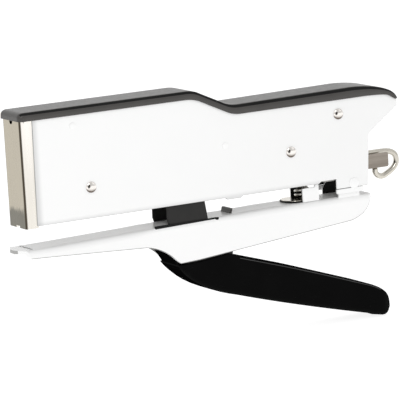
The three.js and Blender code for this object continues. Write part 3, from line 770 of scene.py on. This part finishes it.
def anvil_arm():
    foot = arm_foot()
    corners = {round(x, 3) for x, _ in foot}
    even = {-5.0 + 3.0 * k for k in range(55)}
    stations = sorted(x for x in corners | even | {DECK_LEVEL_X, ARM_END} if x <= ARM_END)
    outer = []
    for x in stations:
        bottom = min(height_on(foot, x), deck_at(x) - SHEET)
        outer.append(arm_ring(x, ARM_HALF, bend_at(x), deck_at(x), bottom))
    arm = new_object("arm_pressing", outer)
    hollow_stations = [-0.9, 1.0, 40.0, 80.0, DECK_LEVEL_X, 165.0]
    hollow = [arm_ring(x, ARM_HALF - SHEET, 0.7, deck_at(x) - SHEET, -40.0) for x in hollow_stations]
    combine(arm, "DIFFERENCE", new_object("hollow", hollow))
    combine(arm, "INTERSECT", prism("plan", arm_plan(ARM_HALF, -4.2, 170), -45, 0))
    slots = [block("slot", 58.3, 87.7, *sorted((s * 6.0, s * 7.7)), -9.6, -6) for s in (-1, 1)]
    combine(arm, "DIFFERENCE", *slots, block("groove", 1.5, 2.9, -6.1, 6.1, -12, -6))
    done(arm, "white", "arm", ["anvil_arm"], bevel=0.28, angle=38)
    # painted shade along the arm's lower edge and on the front of its tip
    shade_edges(arm, lambda face: lower_edge(face, foot) or (face.normal.x < -0.88 and front_of(face, -3.2)))
    ear = path((147.2, -7.6), (147.2, -4.2), (151.2, 0.4), (154.3, 3.6, 157.2, 0.4), (157.6, -7.6))
    for side, name in ((-1, "arm_ear_left"), (1, "arm_ear_right")):
        lug = slab(name, ear, *sorted((side * CHEEK_IN, side * CHEEK_OUT)))
        done(lug, "white", "arm", bevel=0.15)
        shade_inside(lug, side)
    # near-black lining that paints the shade inside the lever slots
    right = path((86.6, -6.35), (87.4, -5.9, 88.4, -6.6), (88.9, -7.5, 87.9, -8.0), (87.0, -8.2, 86.5, -7.7))
    left = path((59.4, -7.7), (58.3, -7.7, 58.3, -7.0), (58.3, -6.35, 59.4, -6.35))
    slot_shade = prism("slot_shade_lining", right + left, deck_at(72) - 1.2, deck_at(72) + 0.3)
    done(slot_shade, "shade", "arm", bevel=0.15)
    stop = slab("arm_stop", [(95.2, -8), (96.3, -8), (97.1, -5.1), (96.1, -5.1)], -4.2, 3.6)
    done(stop, "edge", "arm", bevel=0.12)


def anvil_plate():
    top = [deck_at(x) - SHEET - 0.02 for x in (0.2, 13)]
    plate = slab("anvil", [(0.2, top[0]), (13, top[1]), (13, top[1] - 1.2), (0.2, top[0] - 1.2)], -7, 7)
    grooves = [block("groove", 1.4, 3.0, *sorted((s * 0.4, s * 6.2)), top[0] - 0.5, 0) for s in (-1, 1)]
    combine(plate, "DIFFERENCE", *grooves)
    done(plate, "edge", "arm", ["anvil_plate"], bevel=0.12)


def seat_plan(margin=0.0):
    half = 5.9 + 0.6 * margin
    right = path((136.3, half), (128.8, half), (124.4 - margin, half, 123.8 - margin, 0))
    return right + [(x, -y) for x, y in reversed(right[:-1])]


def spring_seat():
    outline = seat_plan()
    done(prism("seat_plate", outline, -6.25, -5.85), "nickel", "arm", ["spring_seat"], bevel=0.25)


def spring_box():
    base = -6.75
    for side, name, front in ((-1, "box_cheek_left", 129.7), (1, "box_cheek_right", 131.4)):
        outline = path(
            (front, base), (front, -1.3), (front, -0.9, front + 0.4, -0.9), (135.6, -0.9), (135.8, 1.1),
            (137.6, 1.1), (137.6, base),
        )
        cheek = slab(name, outline, *sorted((side * CHEEK_IN, side * 7.1)))
        done(cheek, "white", "arm", bevel=0.14)
        shade_inside(cheek, side)
    # dark sheet under the seat plate: painted shadow in the gap beneath it
    seat_shadow_sheet = prism("seat_shadow", seat_plan(0.5), -6.8, -6.25)
    done(seat_shadow_sheet, "shade", "arm", bevel=0.1)
    back = block("box_back", 136.7, 137.6, -CHEEK_IN, CHEEK_IN, base, -2.2)
    done(back, "white", "arm", ["spring_box"], bevel=0.1)


def coil(name, node, body, spot, turns, radius, steps=28, sides=12):
    """A spring; spot(t, a) is its centre line at the share t of its length and the angle a."""
    count = int(turns * steps)
    points = [spot(k / count, 2 * math.pi * turns * k / count) for k in range(count + 1)]
    return done(swept(name, points, radius, sides), "spring", body, [node], bevel=0.0)


SEAT_TOP, OPEN_HEIGHT, OPEN_TRAVEL = -5.9, 5.1, 1.15      # opening spring: foot, height at rest, squeeze
COIL_START, COIL_END, COIL_TRAVEL = 16.8, 133.4, 95.0     # follower spring: ends at rest, squeeze
OPEN_X = 133                                              # the opening spring's axis
ROD_HEIGHT = 6.4                                          # the rod's and the follower spring's axis


def opening_spot(t, a):
    rise = SEAT_TOP + 0.7 + (OPEN_HEIGHT - 0.2) * t
    return OPEN_X + 2.6 * math.cos(a), 2.6 * math.sin(a), rise


def following_spot(t, a):
    along = COIL_START + (COIL_END - COIL_START) * t
    return along, 1.95 * math.cos(a), ROD_HEIGHT + 1.95 * math.sin(a)


def rocker_spot(t, a):
    return ROCKER_PIVOT[0] + 3.35 * math.cos(a), 5.2 * t - 2.6, ROCKER_PIVOT[1] + 3.35 * math.sin(a)


def springs():
    opening = coil("opening_coil", "opening_spring", "arm", opening_spot, 2.75, 0.55)
    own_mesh(opening)
    following = coil("follower_coil", "follower_spring", "pusher", following_spot, 30, 0.3, 18, 8)
    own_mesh(following)
    coil("rocker_coil", "rocker_spring", "housing", rocker_spot, 5, 0.35)


# ---------- handle ----------
def handle_lever():
    outline = path(
        (65.2, 18.0), (66.5, 22.4, 71.0, 22.4), (77.0, 22.4), (81.0, 22.0, 81.6, 18.0),
        (82.6, 0.2), (84.0, -9.6),
        (96.0, -10.4), (100.6, -11.4, 100.4, -16.0), (99.4, -21.4, 94.8, -22.4), (93.2, -26.2, 98.6, -27.8),
        (140.0, -42.5), (138.0, -51.0), (96.0, -38.9), (76.5, -34.5, 71.6, -24.6), (67.2, -14.6, 64.5, -6.0),
    )
    lift = 1.5
    hollow = [
        (50, 30), (50, -20), (73.5, -24.5 + lift), (80, -32.5 + lift), (96, -38.6 + lift),
        (138, -50.8 + lift), (150, -50.8 + lift), (150, 30),
    ]
    lever = slab("lever_pressing", outline, -CHEEK_OUT, CHEEK_OUT)
    round_edges(lever, 0.85, 6)
    combine(lever, "DIFFERENCE", slab("hollow", hollow, -CHEEK_IN, CHEEK_IN))
    done(lever, "lever", "handle", ["handle_lever"], bevel=0.2)


def grip_top():
    return path(
        (67.8, -25.0), (78.2, -24.7), (92.6, -23.2), (97.0, -25.2), (125.5, -34.2), (158.5, -45.6),
        (168.6, -49.2, 170.2, -54.9), (170.5, -56.8),
    )


def grip_foot():
    return path(
        (67.8, -25.4), (74.6, -36.4, 95.8, -41.8), (124.0, -50.6, 160.8, -59.5),
        (161.2, -59.95), (166.2, -60.9), (169.9, -61.3, 170.5, -58.0),
    )


def grip_ring(x, half, radius, top, foot):
    """Cross-section of the trough: round below, nearly square at the rim."""
    radius = min(radius, (top - foot) * 0.45)
    rim = min(0.5, (top - foot) * 0.2)
    ring = []
    for index in range(7):
        turn = math.pi / 2 * index / 6
        ring.append((x, -half + radius * (1 - math.sin(turn)), foot + radius * (1 - math.cos(turn))))
    for index in range(4):
        turn = math.pi / 2 * index / 3
        ring.append((x, -half + rim * (1 - math.cos(turn)), top - rim * (1 - math.sin(turn))))
    return ring + [(px, -py, pz) for px, py, pz in reversed(ring)]


def grip_shell():
    top, foot = grip_top(), grip_foot()
    stations = [67.85, 68.2, 68.8, 69.6, 70.6, 72.0, 74.0, 76.5] + [80.0 + 4.0 * k for k in range(20)]
    stations += [159.0, 160.8, 161.2, 163.5, 165.0, 166.4, 167.6, 168.6, 169.3, 169.8, 170.2, 170.45]
    rings = []
    for x in stations:
        end = max(0.0, (x - 164.5) / 6.0)
        half = GRIP_HALF * (1 - 0.32 * end ** 3)
        rings.append(grip_ring(x, half, 2.6, height_on(top, x), height_on(foot, x)))
    grip = new_object("grip_moulding", rings)
    inner = path((69.9, -26.5), (76.4, -35.0, 96.2, -40.3), (124.4, -49.0, 159.0, -57.8))
    inner_rings = [grip_ring(x, GRIP_HALF - 1.0, 1.8, -10.0, z) for x, z in inner[:: 2]]
    combine(grip, "DIFFERENCE", new_object("hollow", inner_rings))
    done(grip, "grip", "handle", ["grip_shell"], bevel=0.18, angle=45)
    # lighter black beads along the grip's rims: a painted highlight
    for side, name in ((-1, "grip_rim_left"), (1, "grip_rim_right")):
        line = [(x, side * (GRIP_HALF - 0.14), z - 0.7) for x, z in smooth_curve(grip_top()[3:-10], 4)]
        done(swept(name, line, 0.2, 10), "rim", "handle", bevel=0.0)
    lip = path(
        (64.6, -19.8), (66.2, -20.2), (68.6, -23.4, 70.0, -26.6), (69.0, -27.4), (67.4, -23.8, 64.6, -19.8),
    )
    done(slab("grip_lip", lip[:-1], -7.0, 7.0), "grip", "handle", bevel=0.3)


# ---------- pusher ----------
def pusher_rod():
    rod, hook = ROD_HEIGHT, 8.8
    points = smooth_curve([
        (5.4, rod), (70, rod), (140, rod), (148, rod + 0.3), (154, hook - 0.3), (161, hook),
        (172.5, hook + 0.1),
        (177.4, hook - 0.3), (180.2, 6.9), (180.95, 3.9), (179.5, 1.3), (176.6, -0.6), (173.6, -1.8),
        (171.2, -1.1), (170.2, 0.3), (170.1, 1.6),
    ])
    wire = swept("pusher_wire", [(x, 0, z) for x, z in points], 1.25, 20)
    done(wire, "wire", "pusher", ["pusher_rod"], bevel=0.0)


def staple_rail():
    half, wall, front, rear = 5.3, 0.8, 2.9, 173.9
    outline = path(
        (front, 3.0), (front, 9.2), (rear - 0.8, 9.2), (rear, 9.2, rear, 8.4),
        (rear, 3.9), (rear, 3.0, rear - 1.0, 3.0),
    )
    rail = slab("rail_channel", outline, -half, half)
    combine(rail, "DIFFERENCE", block("hollow", 0, 180, wall - half, half - wall, 3.8, 12))
    done(rail, "rail", "housing", ["staple_rail"], bevel=0.12)


# ---------- CAD pieces that keep their shape ----------
KEPT = {
    "magazine_channel": "steel", "rocker_bush": "steel", "rear_spacer": "steel", "front_spacer": "steel",
    "anvil_rivet": "steel", "lever_pin": "steel", "link_pin": "steel", "grip_rivet_front": "steel",
    "grip_rivet_rear": "steel", "driver_rocker": "steel", "driver_blade": "steel", "rod_collar": "steel",
    "follower": "steel",
}


def dress_kept_nodes():
    for node, material in KEPT.items():
        piece = NODES[node]
        piece.data.materials.clear()
        piece.data.materials.append(MATERIALS[material])
        soften = piece.modifiers.new("bevel", "BEVEL")
        soften.width = 0.08 * MM
        soften.segments = 2
        soften.angle_limit = math.radians(40)


make_camera()
make_world()
make_light("key", (-0.6, -1.6, 1.25), (0, 0, 0.05), (1.0, 0.7), 6.6)
make_light("fill", (1.4, -1.2, 0.9), (0, 0, 0.05), (1.0, 1.0), 1)
make_light("top", (0.1, 0.3, 1.7), (0, 0, 0.05), (1.2, 1.2), 1.0)
make_floor()
MATERIALS = make_materials()
top_cover()
side_plate("plate_left", "side_plate_left", -1)
side_plate("plate_right", "side_plate_right", 1)
nose_channel()
for side, label in ((-1, "left"), (1, "right")):
    dome(f"nose_rivet_{label}", f"front_rivet_{label}", FRONT_RIVET, side)
    dome(f"rocker_rivet_{label}", "rocker_axle", ROCKER_PIVOT, side)
    dome(f"tail_rivet_{label}", "rear_rivet", REAR_RIVET, side)
    dome(f"front_bump_{label}", "front_tie_pin", FRONT_TIE, side, 1.35, 0.35, "white", "white_paint")
    dome(f"middle_bump_{label}", "middle_tie_pin", MIDDLE_TIE, side, 1.4, 0.35, "white", "white_paint")
    dome(f"pivot_boss_{label}", "arm_pivot_pin", ARM_PIVOT, side, 2.35, 0.7, "white", "white_paint")
anvil_arm()
anvil_plate()
spring_seat()
spring_box()
springs()
handle_lever()
grip_shell()
pusher_rod()
staple_rail()
dress_kept_nodes()

bpy.context.scene.view_settings.view_transform = "Standard"
